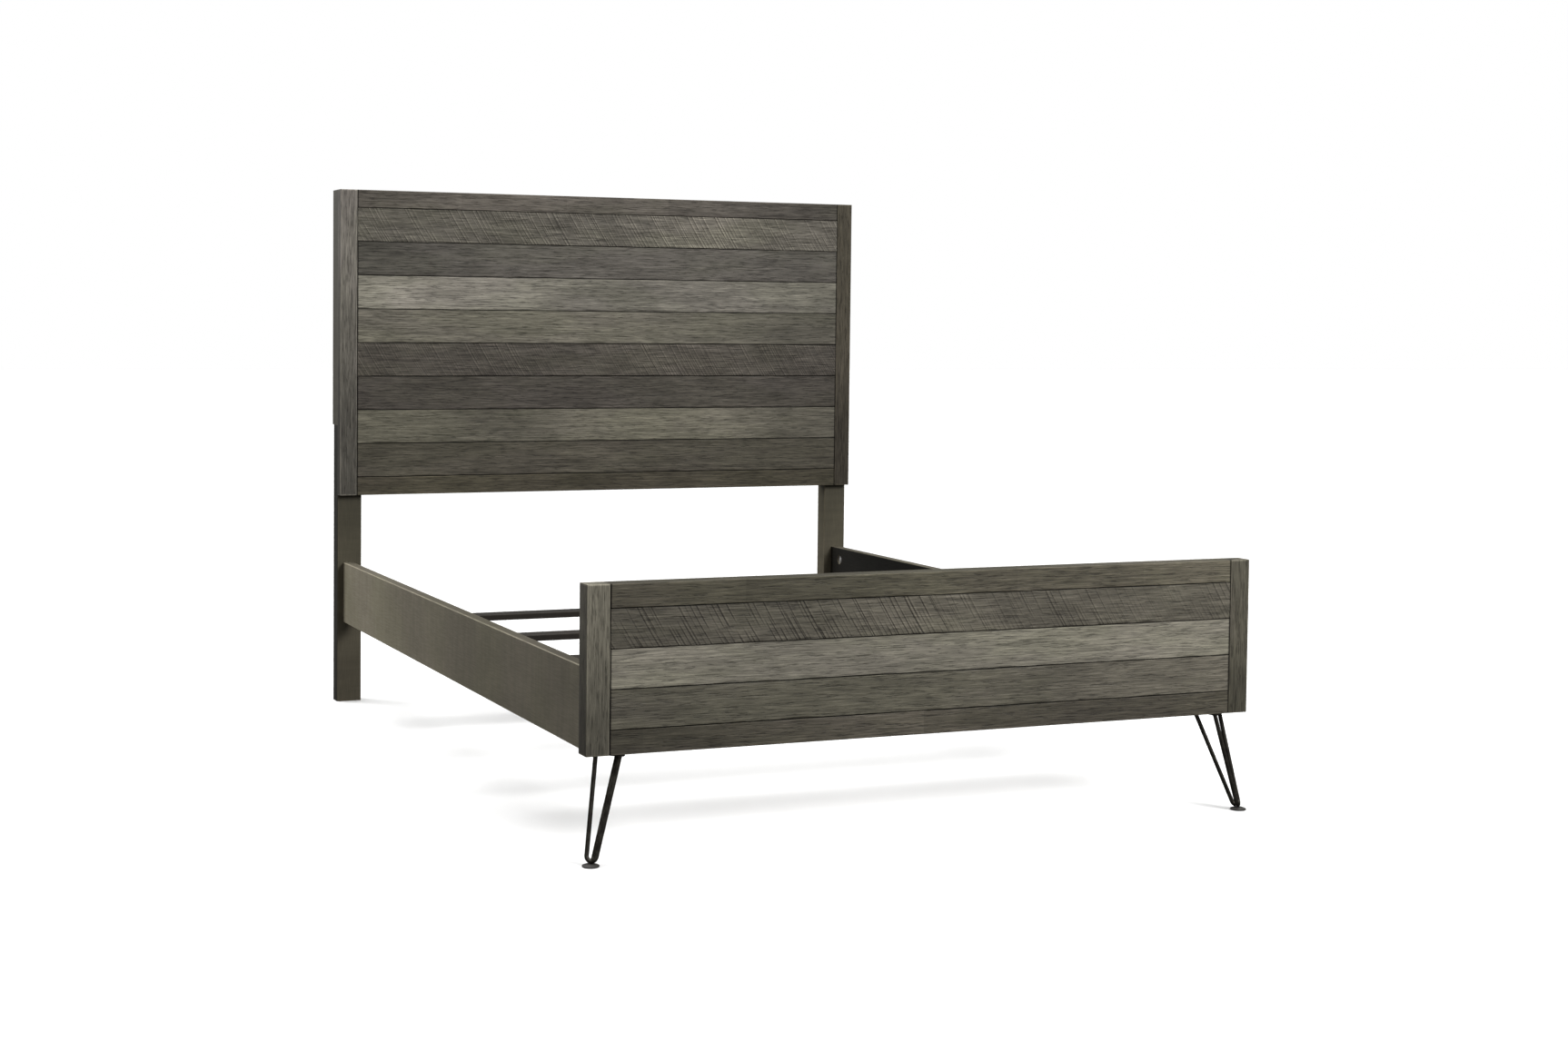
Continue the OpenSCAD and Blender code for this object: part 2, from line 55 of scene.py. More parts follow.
def make_camera():
    """Stands to the left of the foot end, a little above the footboard, and looks towards the headboard."""
    data = bpy.data.cameras.new("camera")
    data.sensor_width = 36
    data.lens = 51.8
    data.shift_x = 0.0597
    data.shift_y = -0.066
    camera = bpy.data.objects.new("camera", data)
    turn, tilt, roll = 0.3896, -0.0439, 0.0095
    camera.matrix_world = (
        Matrix.Translation((-2.3241, -5.3248, 1.1093))
        @ Matrix.Rotation(-turn, 4, "Z")
        @ Matrix.Rotation(math.pi / 2 + tilt, 4, "X")
        @ Matrix.Rotation(roll, 4, "Z")
    )
    bpy.context.scene.collection.objects.link(camera)
    bpy.context.scene.camera = camera


def softbox(name, place, target, size, watts):
    """A square area light at place that faces target."""
    data = bpy.data.lights.new(name, "AREA")
    data.shape = "SQUARE"
    data.size = size
    data.energy = watts
    lamp = bpy.data.objects.new(name, data)
    lamp.location = place
    lamp.rotation_euler = (Vector(target) - Vector(place)).to_track_quat("-Z", "Y").to_euler()
    bpy.context.scene.collection.objects.link(lamp)


def make_world():
    """A white surround for the camera, which lights the bed softly from above and barely from below."""
    world = bpy.data.worlds.new("white_surround")
    world.use_nodes = True
    nodes, links = world.node_tree.nodes, world.node_tree.links
    sky = nodes["Background"]
    sky.inputs["Color"].default_value = (1, 1, 1, 1)
    way = nodes.new("ShaderNodeTexCoord")
    height = nodes.new("ShaderNodeSeparateXYZ")
    strength = nodes.new("ShaderNodeMapRange")
    strength.interpolation_type = "SMOOTHSTEP"
    strength.inputs["From Min"].default_value = -0.3
    strength.inputs["From Max"].default_value = 0.3
    strength.inputs["To Min"].default_value = GROUND_LIGHT
    strength.inputs["To Max"].default_value = SKY_LIGHT
    links.new(way.outputs["Generated"], height.inputs[0])
    links.new(height.outputs["Z"], strength.inputs["Value"])
    links.new(strength.outputs["Result"], sky.inputs["Strength"])
    backdrop = nodes.new("ShaderNodeBackground")
    backdrop.inputs["Color"].default_value = (1, 1, 1, 1)
    seen = nodes.new("ShaderNodeLightPath")
    choice = nodes.new("ShaderNodeMixShader")
    links.new(seen.outputs["Is Camera Ray"], choice.inputs["Fac"])
    links.new(sky.outputs["Background"], choice.inputs[1])
    links.new(backdrop.outputs["Background"], choice.inputs[2])
    links.new(choice.outputs["Shader"], nodes["World Output"].inputs["Surface"])
    bpy.context.scene.world = world


def make_light():
    """Softboxes in front and at the left of the bed, and an even light from overhead for the floor."""
    softbox("front", (2.6, -5.2, 3.6), (0.2, 0, 0.6), 2.4, 355)
    softbox("side", (-3.4, 3.2, 2.4), (-0.8, 1.0, 0.5), 1.6, 75)
    data = bpy.data.lights.new("overhead", "SUN")
    data.energy = 3.2
    data.angle = math.radians(50)
    lamp = bpy.data.objects.new("overhead", data)
    lamp.rotation_euler = (math.radians(-8), math.radians(-6), 0)
    bpy.context.scene.collection.objects.link(lamp)
    bpy.context.scene.view_settings.view_transform = "Standard"


def make_floor():
    half = 40
    mesh = bpy.data.meshes.new("floor")
    corners = [(-half, -half, 0), (half, -half, 0), (half, half, 0), (-half, half, 0)]
    mesh.from_pydata(corners, [], [(0, 1, 2, 3)])
    floor = bpy.data.objects.new("floor", mesh)
    bpy.context.scene.collection.objects.link(floor)
    tree = Tree("pale_floor")
    mottle = tree.noise(tree.place(1), 3, detail=3)
    tree.shader(color=tree.fade(mottle, (0.86, 0.86, 0.855), (0.9, 0.9, 0.895)), roughness=0.8)
    mesh.materials.append(tree.material)
    floor.visible_diffuse = False
    floor.visible_glossy = False


# ---------------------------------------------------------------- material building blocks

class Tree:
    """One material's node tree, built with short calls that return the socket to read next."""

    def __init__(self, name):
        self.material = bpy.data.materials.new(name)
        self.material.use_nodes = True
        self.nodes = self.material.node_tree.nodes
        self.links = self.material.node_tree.links
        self.nodes.clear()

    def put(self, socket, value):
        """Sets a socket to a number or colour, or links it to another socket."""
        if isinstance(value, bpy.types.NodeSocket):
            self.links.new(value, socket)
        elif socket.type == "RGBA" and len(value) == 3:
            socket.default_value = (*value, 1)
        else:
            socket.default_value = value

    def place(self, scale, shift=(0, 0, 0)):
        """The point on the object, in metres, times a scale for each axis, plus a shift."""
        coordinates = self.nodes.new("ShaderNodeTexCoord")
        mapping = self.nodes.new("ShaderNodeMapping")
        self.put(mapping.inputs["Vector"], coordinates.outputs["Object"])
        self.put(mapping.inputs["Scale"], scale if hasattr(scale, "__len__") else (scale,) * 3)
        self.put(mapping.inputs["Location"], shift)
        return mapping.outputs["Vector"]

    def noise(self, vector, scale, detail=2, roughness=0.5, warp=0):
        node = self.nodes.new("ShaderNodeTexNoise")
        self.put(node.inputs["Vector"], vector)
        self.put(node.inputs["Scale"], scale)
        self.put(node.inputs["Detail"], detail)
        self.put(node.inputs["Roughness"], roughness)
        self.put(node.inputs["Distortion"], warp)
        return node.outputs["Fac"]

    def math(self, operation, a, b=0.0, c=0.0):
        node = self.nodes.new("ShaderNodeMath")
        node.operation = operation
        for socket, value in zip(node.inputs, (a, b, c)):
            self.put(socket, value)
        return node.outputs["Value"]

    def vector(self, operation, a, b=(0, 0, 0)):
        node = self.nodes.new("ShaderNodeVectorMath")
        node.operation = operation
        self.put(node.inputs[0], a)
        self.put(node.inputs[1], b)
        return node.outputs["Vector"]

    def scaled(self, color, factor):
        node = self.nodes.new("ShaderNodeVectorMath")
        node.operation = "SCALE"
        self.put(node.inputs[0], color)
        self.put(node.inputs["Scale"], factor)
        return node.outputs["Vector"]

    def smooth(self, value, low, high, to_low=0.0, to_high=1.0):
        """A smooth step of value from low to high."""
        node = self.nodes.new("ShaderNodeMapRange")
        node.interpolation_type = "SMOOTHSTEP"
        self.put(node.inputs["Value"], value)
        self.put(node.inputs["From Min"], low)
        self.put(node.inputs["From Max"], high)
        self.put(node.inputs["To Min"], to_low)
        self.put(node.inputs["To Max"], to_high)
        return node.outputs["Result"]

    def ramp(self, value, low, high):
        """0 at low and 1 at high, in a straight line."""
        node = self.nodes.new("ShaderNodeMapRange")
        self.put(node.inputs["Value"], value)
        self.put(node.inputs["From Min"], low)
        self.put(node.inputs["From Max"], high)
        return node.outputs["Result"]

    def fade(self, factor, a, b):
        """Colour a where factor is 0, and b where it is 1."""
        node = self.nodes.new("ShaderNodeMix")
        node.data_type = "RGBA"
        self.put(node.inputs["Factor"], factor)
        self.put(node.inputs[6], a)
        self.put(node.inputs[7], b)
        return node.outputs[2]

    def attribute(self, name):
        node = self.nodes.new("ShaderNodeAttribute")
        node.attribute_name = name
        return node.outputs["Fac"]

    def parts(self, vector):
        node = self.nodes.new("ShaderNodeSeparateXYZ")
        self.put(node.inputs[0], vector)
        return node.outputs

    def bump(self, height, distance, strength=1.0):
        node = self.nodes.new("ShaderNodeBump")
        self.put(node.inputs["Height"], height)
        self.put(node.inputs["Distance"], distance)
        self.put(node.inputs["Strength"], strength)
        return node.outputs["Normal"]

    def shader(self, color, roughness, normal=None, metallic=0.0, specular=0.5, edge_tint=None):
        node = self.nodes.new("ShaderNodeBsdfPrincipled")
        self.put(node.inputs["Base Color"], color)
        self.put(node.inputs["Roughness"], roughness)
        self.put(node.inputs["Metallic"], metallic)
        self.put(node.inputs["Specular IOR Level"], specular)
        if edge_tint:
            self.put(node.inputs["Specular Tint"], edge_tint)
        if normal:
            self.put(node.inputs["Normal"], normal)
        output = self.nodes.new("ShaderNodeOutputMaterial")
        self.put(output.inputs["Surface"], node.outputs["BSDF"])
        return self.material

    def less(self, value, share):
        """What is left where value takes up to that share away."""
        return self.math("SUBTRACT", 1, self.math("MULTIPLY", value, share))

    def more(self, value, share):
        """One, and up to that share more where value is 1."""
        return self.math("ADD", 1, self.math("MULTIPLY", value, share))

    def face_share(self, axis, place, way, share):
        """The share on the face that looks along way and lies beyond place on an axis, and 1 elsewhere."""
        beyond = self.math("MULTIPLY", self.math("SUBTRACT", self.parts(self.place(1))[axis], place), way)
        return self.smooth(beyond, -0.0014, -0.0003, 1, share)

    def drift(self, value, low, high, shares):
        """A share that drifts from stop to stop, evenly spaced, as value goes from low to high."""
        node = self.nodes.new("ShaderNodeValToRGB")
        ramp = node.color_ramp
        ramp.interpolation = "EASE"
        for _ in range(len(shares) - 2):
            ramp.elements.new(0.5)
        for number, (stop, share) in enumerate(zip(ramp.elements, shares)):
            stop.position = (number + 0.5) / len(shares)
            stop.color = (share / 2, share / 2, share / 2, 1)
        self.put(node.inputs["Fac"], self.ramp(value, low, high))
        return self.math("MULTIPLY", node.outputs["Color"], 2)

    def edge_distance(self, low, high):
        """How far a point on a box's surface is from the box's nearest edge: the middle one of its three
        distances to the pairs of faces."""
        centre = (Vector(low) + Vector(high)) / 2
        half = (Vector(high) - Vector(low)) / 2
        away = self.vector("ABSOLUTE", self.vector("SUBTRACT", self.place(1), centre))
        a, b, c = self.parts(self.vector("SUBTRACT", half, away))
        lower = self.math("MINIMUM", a, b)
        upper = self.math("MAXIMUM", a, b)
        return self.math("MAXIMUM", lower, self.math("MINIMUM", upper, c))


# ---------------------------------------------------------------- wood

OLIVE = (0.985, 1.003, 0.96)
PLUM = (1.0, 0.998, 1.005)


def along_grain(axis, long, wide):
    """Scale for a pattern whose features are long along the grain's axis and wide across it, in metres."""
    return tuple(1 / long if i == axis else 1 / wide for i in range(3))


def shift_of(seed):
    """A place of its own in the patterns for each board."""
    return (seed * 3.7 % 11, seed * 5.3 % 13, seed * 7.9 % 17)


def weathered(
    name, box, axis, tone, seed, drift=(1, 1), grain=1.0, edge_wear_and_highlight=0.0, blocks=0.0, sides=(), marks=(0.85, 0.5)
):
    """Open-pored boards under a thin grey stain: clouds, streaks, fibres, dark and light dashes, groove lines
    darkened partly by stain and partly as painted shade, and edges lightened partly by being worn and partly
    as a painted highlight. drift gives the shares of the tone from the board's low end to its high end. grain
    is the strength of the clouds and streaks, and marks that of the saw marks' dark cuts and light ridges.
    blocks sets apart the tones of the short lengths that a board is glued up from. sides has an (axis, place,
    way, share) for each face set darker or lighter than the rest: the face beyond that place, looking along
    way, has that share of the tone."""
    tree = Tree(name)
    shift = shift_of(seed)
    clouds = tree.noise(tree.place(along_grain(axis, 0.2, 0.04), shift), 1, 3, 0.6)
    hues = tree.noise(tree.place(along_grain(axis, 0.4, 0.12), shift_of(seed + 5)), 1, 3, 0.6)
    streaks = tree.noise(tree.place(along_grain(axis, 0.26, 0.0052), shift), 1, 4, 0.62)
    fibres = tree.noise(tree.place(along_grain(axis, 0.07, 0.002), shift), 1, 3, 0.65)
    dashes = tree.noise(tree.place(along_grain(axis, 0.034, 0.0032), shift_of(seed + 9)), 1, 2, 0.6)
    dark_dashes = tree.smooth(dashes, 0.54, 0.68)
    light_dashes = tree.smooth(dashes, 0.44, 0.32)
    shade = tree.smooth(clouds, 0.32, 0.68, 1 - 0.13 * grain, 1 + 0.13 * grain)
    shade = tree.math("MULTIPLY", shade, tree.smooth(streaks, 0.32, 0.68, 1 - 0.14 * grain, 1 + 0.14 * grain))
    shade = tree.math("MULTIPLY", shade, tree.smooth(fibres, 0.36, 0.64, 0.72, 1.25))
    shade = tree.math("MULTIPLY", shade, tree.less(dark_dashes, 0.42))
    shade = tree.math("MULTIPLY", shade, tree.more(light_dashes, 0.24))
    place = tree.parts(tree.place(1))
    if blocks:
        cell = tree.math("FLOOR", tree.math("ADD", tree.math("MULTIPLY", place[axis], 3.1), seed * 0.37))
        step = tree.nodes.new("ShaderNodeTexWhiteNoise")
        step.noise_dimensions = "1D"
        tree.put(step.inputs["W"], cell)
        shade = tree.math("MULTIPLY", shade, tree.smooth(step.outputs["Value"], 0, 1, 1 - blocks, 1 + blocks))
    shade = tree.math("MULTIPLY", shade, tree.drift(place[axis], box[0][axis], box[1][axis], drift))
    groove_stain_and_shade = tree.attribute("groove")
    shade = tree.math("MULTIPLY", shade, tree.less(tree.attribute("mark"), marks[0]))
    shade = tree.math("MULTIPLY", shade, tree.more(tree.attribute("ridge"), marks[1]))
    # Edges are lightened, partly as worn wood and partly as a painted highlight on their rounding.
    edge = tree.smooth(tree.edge_distance(*box), 0.0005, 0.0045, 1, 0)
    rubbed_and_highlit_edge = tree.math("MULTIPLY", edge, tree.smooth(streaks, 0.35, 0.6, 0.35, 1))
    shade = tree.math("ADD", shade, tree.math("MULTIPLY", rubbed_and_highlit_edge, edge_wear_and_highlight))
    # The V-groove lines are darkened down to a tenth: partly stain, partly painted shade.
    shade = tree.math("MULTIPLY", shade, tree.less(groove_stain_and_shade, 0.9))
    for side in sides:
        shade = tree.math("MULTIPLY", shade, tree.face_share(*side))
    tint = tree.fade(tree.smooth(hues, 0.4, 0.6), OLIVE, PLUM)
    color = tree.scaled(tree.vector("MULTIPLY", tint, tone), shade)
    height = tree.math("ADD", tree.math("MULTIPLY", streaks, 0.8), tree.math("MULTIPLY", fibres, 0.6))
    height = tree.math("SUBTRACT", height, tree.math("MULTIPLY", dark_dashes, 0.5))
    roughness = tree.smooth(clouds, 0.3, 0.7, 0.64, 0.52)
    return tree.shader(color, roughness, tree.bump(height, 0.0009, 0.9), specular=0.16)


def stained(name, box, axis, tone, seed, edge_wear_and_highlight=0.5, sides=(), drift=(1, 1)):
    """Smooth boards under an even stain, with faint bands across them and fine closed grain. sides and drift
    are as in weathered."""
    tree = Tree(name)
    shift = shift_of(seed)
    clouds = tree.noise(tree.place(along_grain(axis, 0.35, 0.16), shift), 1, 3, 0.55)
    bands = tree.noise(tree.place(along_grain(axis, 0.018, 0.12), shift), 1, 3, 0.6)
    fibres = tree.noise(tree.place(along_grain(axis, 0.05, 0.0022), shift), 1, 4, 0.6)
    hues = tree.noise(tree.place(4, shift), 1, 2, 0.5)
    shade = tree.smooth(clouds, 0.3, 0.7, 0.9, 1.1)
    shade = tree.math("MULTIPLY", shade, tree.smooth(bands, 0.3, 0.7, 0.93, 1.07))
    shade = tree.math("MULTIPLY", shade, tree.smooth(fibres, 0.25, 0.75, 0.9, 1.1))
    place = tree.parts(tree.place(1))[axis]
    shade = tree.math("MULTIPLY", shade, tree.drift(place, box[0][axis], box[1][axis], drift))
    # Edges are lightened, partly as worn wood and partly as a painted highlight on their rounding.
    edge = tree.smooth(tree.edge_distance(*box), 0.0008, 0.004, 1, 0)
    rubbed_and_highlit_edge = tree.math("MULTIPLY", edge, tree.smooth(fibres, 0.3, 0.6, 0.4, 1))
    shade = tree.math("ADD", shade, tree.math("MULTIPLY", rubbed_and_highlit_edge, edge_wear_and_highlight))
    for side in sides:
        shade = tree.math("MULTIPLY", shade, tree.face_share(*side))
    tint = tree.fade(tree.smooth(hues, 0.35, 0.65), OLIVE, PLUM)
    color = tree.scaled(tree.vector("MULTIPLY", tint, tone), shade)
    height = tree.math("ADD", tree.math("MULTIPLY", fibres, 0.6), tree.math("MULTIPLY", bands, 0.2))
    roughness = tree.smooth(fibres, 0.3, 0.7, 0.56, 0.46)
    return tree.shader(color, roughness, tree.bump(height, 0.0003, 0.6), specular=0.2)


def raw_ply(name, axis, tone, seed):
    """Bare birch ply and dowel: pale, with long soft figure and small dark flecks."""
    tree = Tree(name)
    shift = shift_of(seed)
    figure = tree.noise(tree.place(along_grain(axis, 0.5, 0.03), shift), 1, 4, 0.6, 1.2)
    fibres = tree.noise(tree.place(along_grain(axis, 0.04, 0.0015), shift), 1, 3, 0.6)
    flecks = tree.smooth(tree.noise(tree.place(along_grain(axis, 0.03, 0.002), shift), 1, 2), 0.64, 0.72)
    shade = tree.smooth(figure, 0.3, 0.7, 0.8, 1.15)
    shade = tree.math("MULTIPLY", shade, tree.smooth(fibres, 0.3, 0.7, 0.9, 1.08))
    shade = tree.math("MULTIPLY", shade, tree.less(flecks, 0.3))
    color = tree.scaled(tree.vector("MULTIPLY", (1, 1, 1), tone), shade)
    return tree.shader(color, 0.72, tree.bump(fibres, 0.0003, 0.6), specular=0.3)


# ---------------------------------------------------------------- metal and feet

THREAD_PITCH = 1.25 * MM


def black_steel():
    """Dark oiled steel: a satin skin with fine specks and rubbed patches."""
    tree = Tree("black_steel")
    patches = tree.noise(tree.place(40), 1, 4, 0.6)
    specks = tree.noise(tree.place(900), 1, 2, 0.6)
    color = tree.fade(tree.smooth(patches, 0.35, 0.7), (0.035, 0.032, 0.027), (0.085, 0.078, 0.066))
    roughness = tree.smooth(patches, 0.3, 0.7, 0.42, 0.3)
    normal = tree.bump(specks, 0.0001, 0.5)
    return tree.shader(color, roughness, normal, metallic=0.85, edge_tint=(0.25, 0.24, 0.22))


def zinc_steel(name, thread=None):
    """Zinc plate: bright, slightly blotched, with a fine brushed sheen. thread is the axis that a screw
    thread runs along, cut into shanks but not felt on flat faces."""
    tree = Tree(name)
    blotches = tree.noise(tree.place(160), 1, 4, 0.6)
    scratches = tree.noise(tree.place((2500, 300, 300)), 1, 2, 0.6)
    color = tree.fade(tree.smooth(blotches, 0.3, 0.7), (0.85, 0.85, 0.86), (0.97, 0.97, 0.97))
    roughness = tree.smooth(blotches, 0.3, 0.7, 0.38, 0.25)
    normal = tree.bump(scratches, 0.00005, 0.4)
    if thread is not None:
        along = tree.parts(tree.place(1))[thread]
        turns = tree.math("SINE", tree.math("MULTIPLY", along, math.tau / THREAD_PITCH))
        normal = tree.bump(turns, 0.0004)
    return tree.shader(color, roughness, normal, metallic=0.35)


def foot_plastic():
    """Dark moulded nylon with a fine grained skin, scuffed grey here and there."""
    tree = Tree("foot_plastic")
    grain = tree.noise(tree.place(2200), 1, 2, 0.6)
    scuffs = tree.smooth(tree.noise(tree.place((120, 300, 120)), 1, 4, 0.7), 0.55, 0.72)
    color = tree.fade(scuffs, (0.03, 0.028, 0.025), (0.09, 0.085, 0.078))
    return tree.shader(color, 0.5, tree.bump(grain, 0.0001, 0.5), specular=0.45)


# ---------------------------------------------------------------- board geometry

GROOVE_WIDTH, GROOVE_DEPTH = 1.5 * MM, 2.4 * MM
PLAIN_STEP, MARKED_STEP = 4 * MM, 1.25 * MM
SLANT = math.tan(math.radians(31))


def waves(a, b, seed, long, wide, count=9):
    """Smooth repeatable noise of about -1 to 1, from plane waves with seeded directions and phases."""
    rng = np.random.default_rng(seed)
    total = np.zeros(np.broadcast(a, b).shape)
    for _ in range(count):
        ka, kb = rng.normal(0, 0.8, 2)
        total += np.sin(math.tau * (ka * a / long + kb * b / wide) + rng.uniform(0, math.tau))
    return total / math.sqrt(count) / 1.3


def saw_marks(s, t, width, length, seed, pitch, patchy):
    """Depth of the slanted saw marks at each point, from 0 to 1, and the ridges beside them."""
    rng = np.random.default_rng(seed)
    depth = np.zeros(s.shape)
    ridge = np.zeros(s.shape)
    place = -0.04
    while place < length + 0.04:
        place += pitch * rng.uniform(0.35, 1.75)
        strength = rng.uniform(0.4, 1.0)
        patch = waves(np.array(place), np.array(0.0), seed + 1, 0.55, 1.0)
        strength *= float(np.clip(0.75 + patchy * patch, 0, 1))
        kind = rng.uniform()
        low = -0.02 if kind < 0.75 else width * rng.uniform(0.3, 0.6)
        high = width + 0.02 if kind > 0.45 else width * rng.uniform(0.2, 0.7)
        half = rng.uniform(1.0, 1.8) * MM
        bow = rng.uniform(0.2, 1.1)
        line = place + SLANT * (width / 2 - t) + bow * (t - width / 2) ** 2
        gap = (s - line) / half
        reach = 1 / (1 + np.exp(-(t - low) / 0.004)) / (1 + np.exp((t - high) / 0.004))
        depth = np.maximum(depth, strength * reach * np.exp(-gap**2))
        ridge = np.maximum(ridge, strength * reach * np.exp(-((gap - 2.3) / 1.3) ** 2))
    return depth, ridge * (1 - depth)


def rows_across(width, ease):
    """Row places across a board: close together over each eased edge, and a plain step apart between them."""
    edge = ease * np.array([0, 0.12, 0.35, 0.65, 1.0, 1.6])
    count = max(2, round((width - 2 * edge[-1]) / PLAIN_STEP))
    middle = np.linspace(edge[-1], width - edge[-1], count + 1)
    return np.concatenate([edge[:-1], middle, (width - edge[:-1])[::-1]])


def make_board(name, node, along, ease, seed, joints=(), marks=None, hollow=0.25):
    """A board in place of a CAD node, with its front towards -Y. Its front edges wander: they are rounded, or
    cut back into half of a V-groove on the sides in joints, where -1 is the low side and 1 the high one. The
    V-groove is darkened, partly as stain collected in it and partly as painted shade. A level board's ends
    are darkened the same way where it meets its stiles, painted shade in the joint.
    Its face is uneven by up to hollow millimetres, and saw marks are cut into it where marks gives (pitch,
    patchiness)."""
    low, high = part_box(node)
    across = X + Z - along
    length, width, thick = high[along] - low[along], high[across] - low[across], high[Y] - low[Y]
    spacing = MARKED_STEP if marks else PLAIN_STEP
    stations = np.linspace(0, length, max(2, round(length / spacing)) + 1)
    stations = np.sort(np.concatenate([stations, [0.8 * MM, length - 0.8 * MM]]))
    rows = rows_across(width, ease)
    s, t = np.meshgrid(stations, rows, indexing="ij")
    if marks:
        lean = np.clip(np.minimum(s, length - s) / 0.07, 0, 1)
        s = s + SLANT * (width / 2 - t) * lean * lean * (3 - 2 * lean)
    near = np.minimum(t, width - t)
    side = np.where(t < width / 2, -1, 1)
    cut = np.isin(side, joints)
    reach = np.where(cut, GROOVE_WIDTH, ease) * (1 + 0.3 * waves(s, side * 1.0, seed + 2, 0.12, 0.6))
    inside = np.clip(near / reach, 0, 1)
    depth = np.where(cut, GROOVE_DEPTH * (1 - inside), ease * (1 - np.sqrt(1 - (1 - inside) ** 2)))
    uneven = 0.5 + 0.5 * np.clip(waves(s, t, seed, 0.22, 0.045), -1, 1)
    grain = 0.5 + 0.5 * np.clip(waves(s, t, seed + 3, 0.09, 0.011), -1, 1)
    depth = depth + (hollow * uneven + 0.12 * grain) * MM * np.clip(near / 0.006, 0, 1)
    mark = np.zeros(s.shape)
    ridge = np.zeros(s.shape)
    if marks:
        mark, ridge = saw_marks(s, t, width, length, seed + 4, *marks)
        depth = depth + 0.75 * MM * mark
    ends = np.minimum(s, length - s)
    depth = depth + np.where(ends < 0.4 * MM, 0.6 * MM, 0)
    # The groove attribute darkens the V-grooves and the ends of level boards: partly stain collected there,
    # partly painted shade.
    groove = np.where(cut, np.clip(1.3 - near / reach, 0, 1), 0)
    if along == X:
        groove = np.maximum(groove, ends < 1 * MM)
    count_s, count_t = s.shape
    points = np.zeros((count_s, count_t + 2, 3))
    points[:, :count_t, along] = s
    points[:, :count_t, across] = t
    points[:, :count_t, Y] = np.clip(depth, 0, thick)
    points[:, count_t:, along] = stations[:, None]
    points[:, count_t, across] = width
    points[:, count_t:, Y] = thick
    points += np.array(low)
    loop = count_t + 2
    first = (np.arange(count_s - 1)[:, None] * loop + np.arange(loop)[None, :]).ravel()
    after = (np.arange(count_s - 1)[:, None] * loop + (np.arange(loop)[None, :] + 1) % loop).ravel()
    quads = np.stack([first, after, after + loop, first + loop], 1)
    if along == X:
        quads = quads[:, ::-1]
    ends_faces = [list(range(loop)), list(range((count_s - 1) * loop, count_s * loop))]
    ends_faces[0 if along == Z else 1].reverse()
    mesh = bpy.data.meshes.new(name)
    mesh.from_pydata(points.reshape(-1, 3).tolist(), [], quads.tolist() + ends_faces)
    for label, values in (("mark", mark), ("ridge", ridge), ("groove", groove)):
        full = np.zeros((count_s, loop), np.float32)
        full[:, :count_t] = values
        mesh.attributes.new(label, "FLOAT", "POINT").data.foreach_set("value", full.ravel())
    mesh.shade_smooth()
    mesh.set_sharp_from_angle(angle=math.radians(50))
    mesh.validate()
    board = bpy.data.objects.new(name, mesh)
    bpy.context.scene.collection.objects.link(board)
    return board


def stand_for(piece, node, material):
    piece.data.materials.clear()
    piece.data.materials.append(material)
    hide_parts(node)
    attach(piece, "root")


def paint(node, material):
    """Gives a CAD node its material."""
    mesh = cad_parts[node].data
    mesh.materials.clear()
    mesh.materials.append(material)


# ---------------------------------------------------------------- the bed's pieces

# Each plank from the top down: material slot, tone, shares of it from left to right, and saw marks as
# (pitch, patchiness)
HEADBOARD_PLANKS = [
    ("plank_dark", (0.145, 0.132, 0.108), (0.9, 0.9, 0.85, 1.3, 0.95), (0.008, 0.6)),
    ("plank_dark", (0.122, 0.111, 0.095), (0.8, 1, 1.05, 1.05, 0.9), None),
    ("plank_light", (0.210, 0.194, 0.163), (1.45, 1.2, 0.8, 0.95, 0.9), None),
    ("plank_light", (0.158, 0.145, 0.115), (1.1, 1.1, 1.15, 0.95, 0.7), None),
    ("plank_dark", (0.090, 0.079, 0.065), (1, 0.9, 1.05, 1.1, 0.85), (0.0062, 0.5)),
    ("plank_dark", (0.079, 0.069, 0.058), (1, 1, 0.95, 1.1, 0.95), None),
    ("plank_light", (0.146, 0.134, 0.104), (1, 0.8, 1.2, 1.2, 0.8), None),
    ("plank_medium", (0.088, 0.078, 0.060), (1.05, 1, 1.1, 0.95, 0.95), None),
]
FOOTBOARD_PLANKS = [
    ("plank_medium", (0.105, 0.095, 0.074), (0.85, 0.95, 1.2, 0.95, 1), (0.0078, 0.5)),
    ("plank_light", (0.192, 0.177, 0.143), (1.05, 0.9, 0.95, 1.05, 1.1), None),
    ("plank_medium", (0.110, 0.100, 0.078), (0.9, 0.95, 1.05, 0.95, 1.15), None),
]

# Each front frame's boards: grain axis, sides joined to the next board, tone, and shares of it from the
# bottom up or from left to right. The stiles' shares make them darker towards the bottom, which is painted
# shade.
HEADBOARD_FRAME = {
    "left_stile": (Z, (1,), (0.215, 0.195, 0.170), (0.42, 0.65, 1.02)),
    "right_stile": (Z, (-1,), (0.073, 0.062, 0.045), (0.6, 1, 1)),
    "top_rail": (X, (-1,), (0.120, 0.106, 0.088), (0.9, 1.35, 0.9, 1.05, 0.7)),
    "bottom_rail": (X, (1,), (0.082, 0.071, 0.050), (1.1, 1.15, 0.9, 0.9, 0.85)),
}
FOOTBOARD_FRAME = {
    "left_stile": (Z, (1,), (0.152, 0.138, 0.112), (0.6, 0.82, 1.1)),
    "right_stile": (Z, (-1,), (0.083, 0.075, 0.058), (0.7, 1.1, 1.05)),
    "top_rail": (X, (-1,), (0.092, 0.082, 0.060), (0.8, 0.85, 1.2, 1, 1.1)),
    "bottom_rail": (X, (1,), (0.076, 0.067, 0.052), (0.75, 0.95, 1.3, 1, 1)),
}

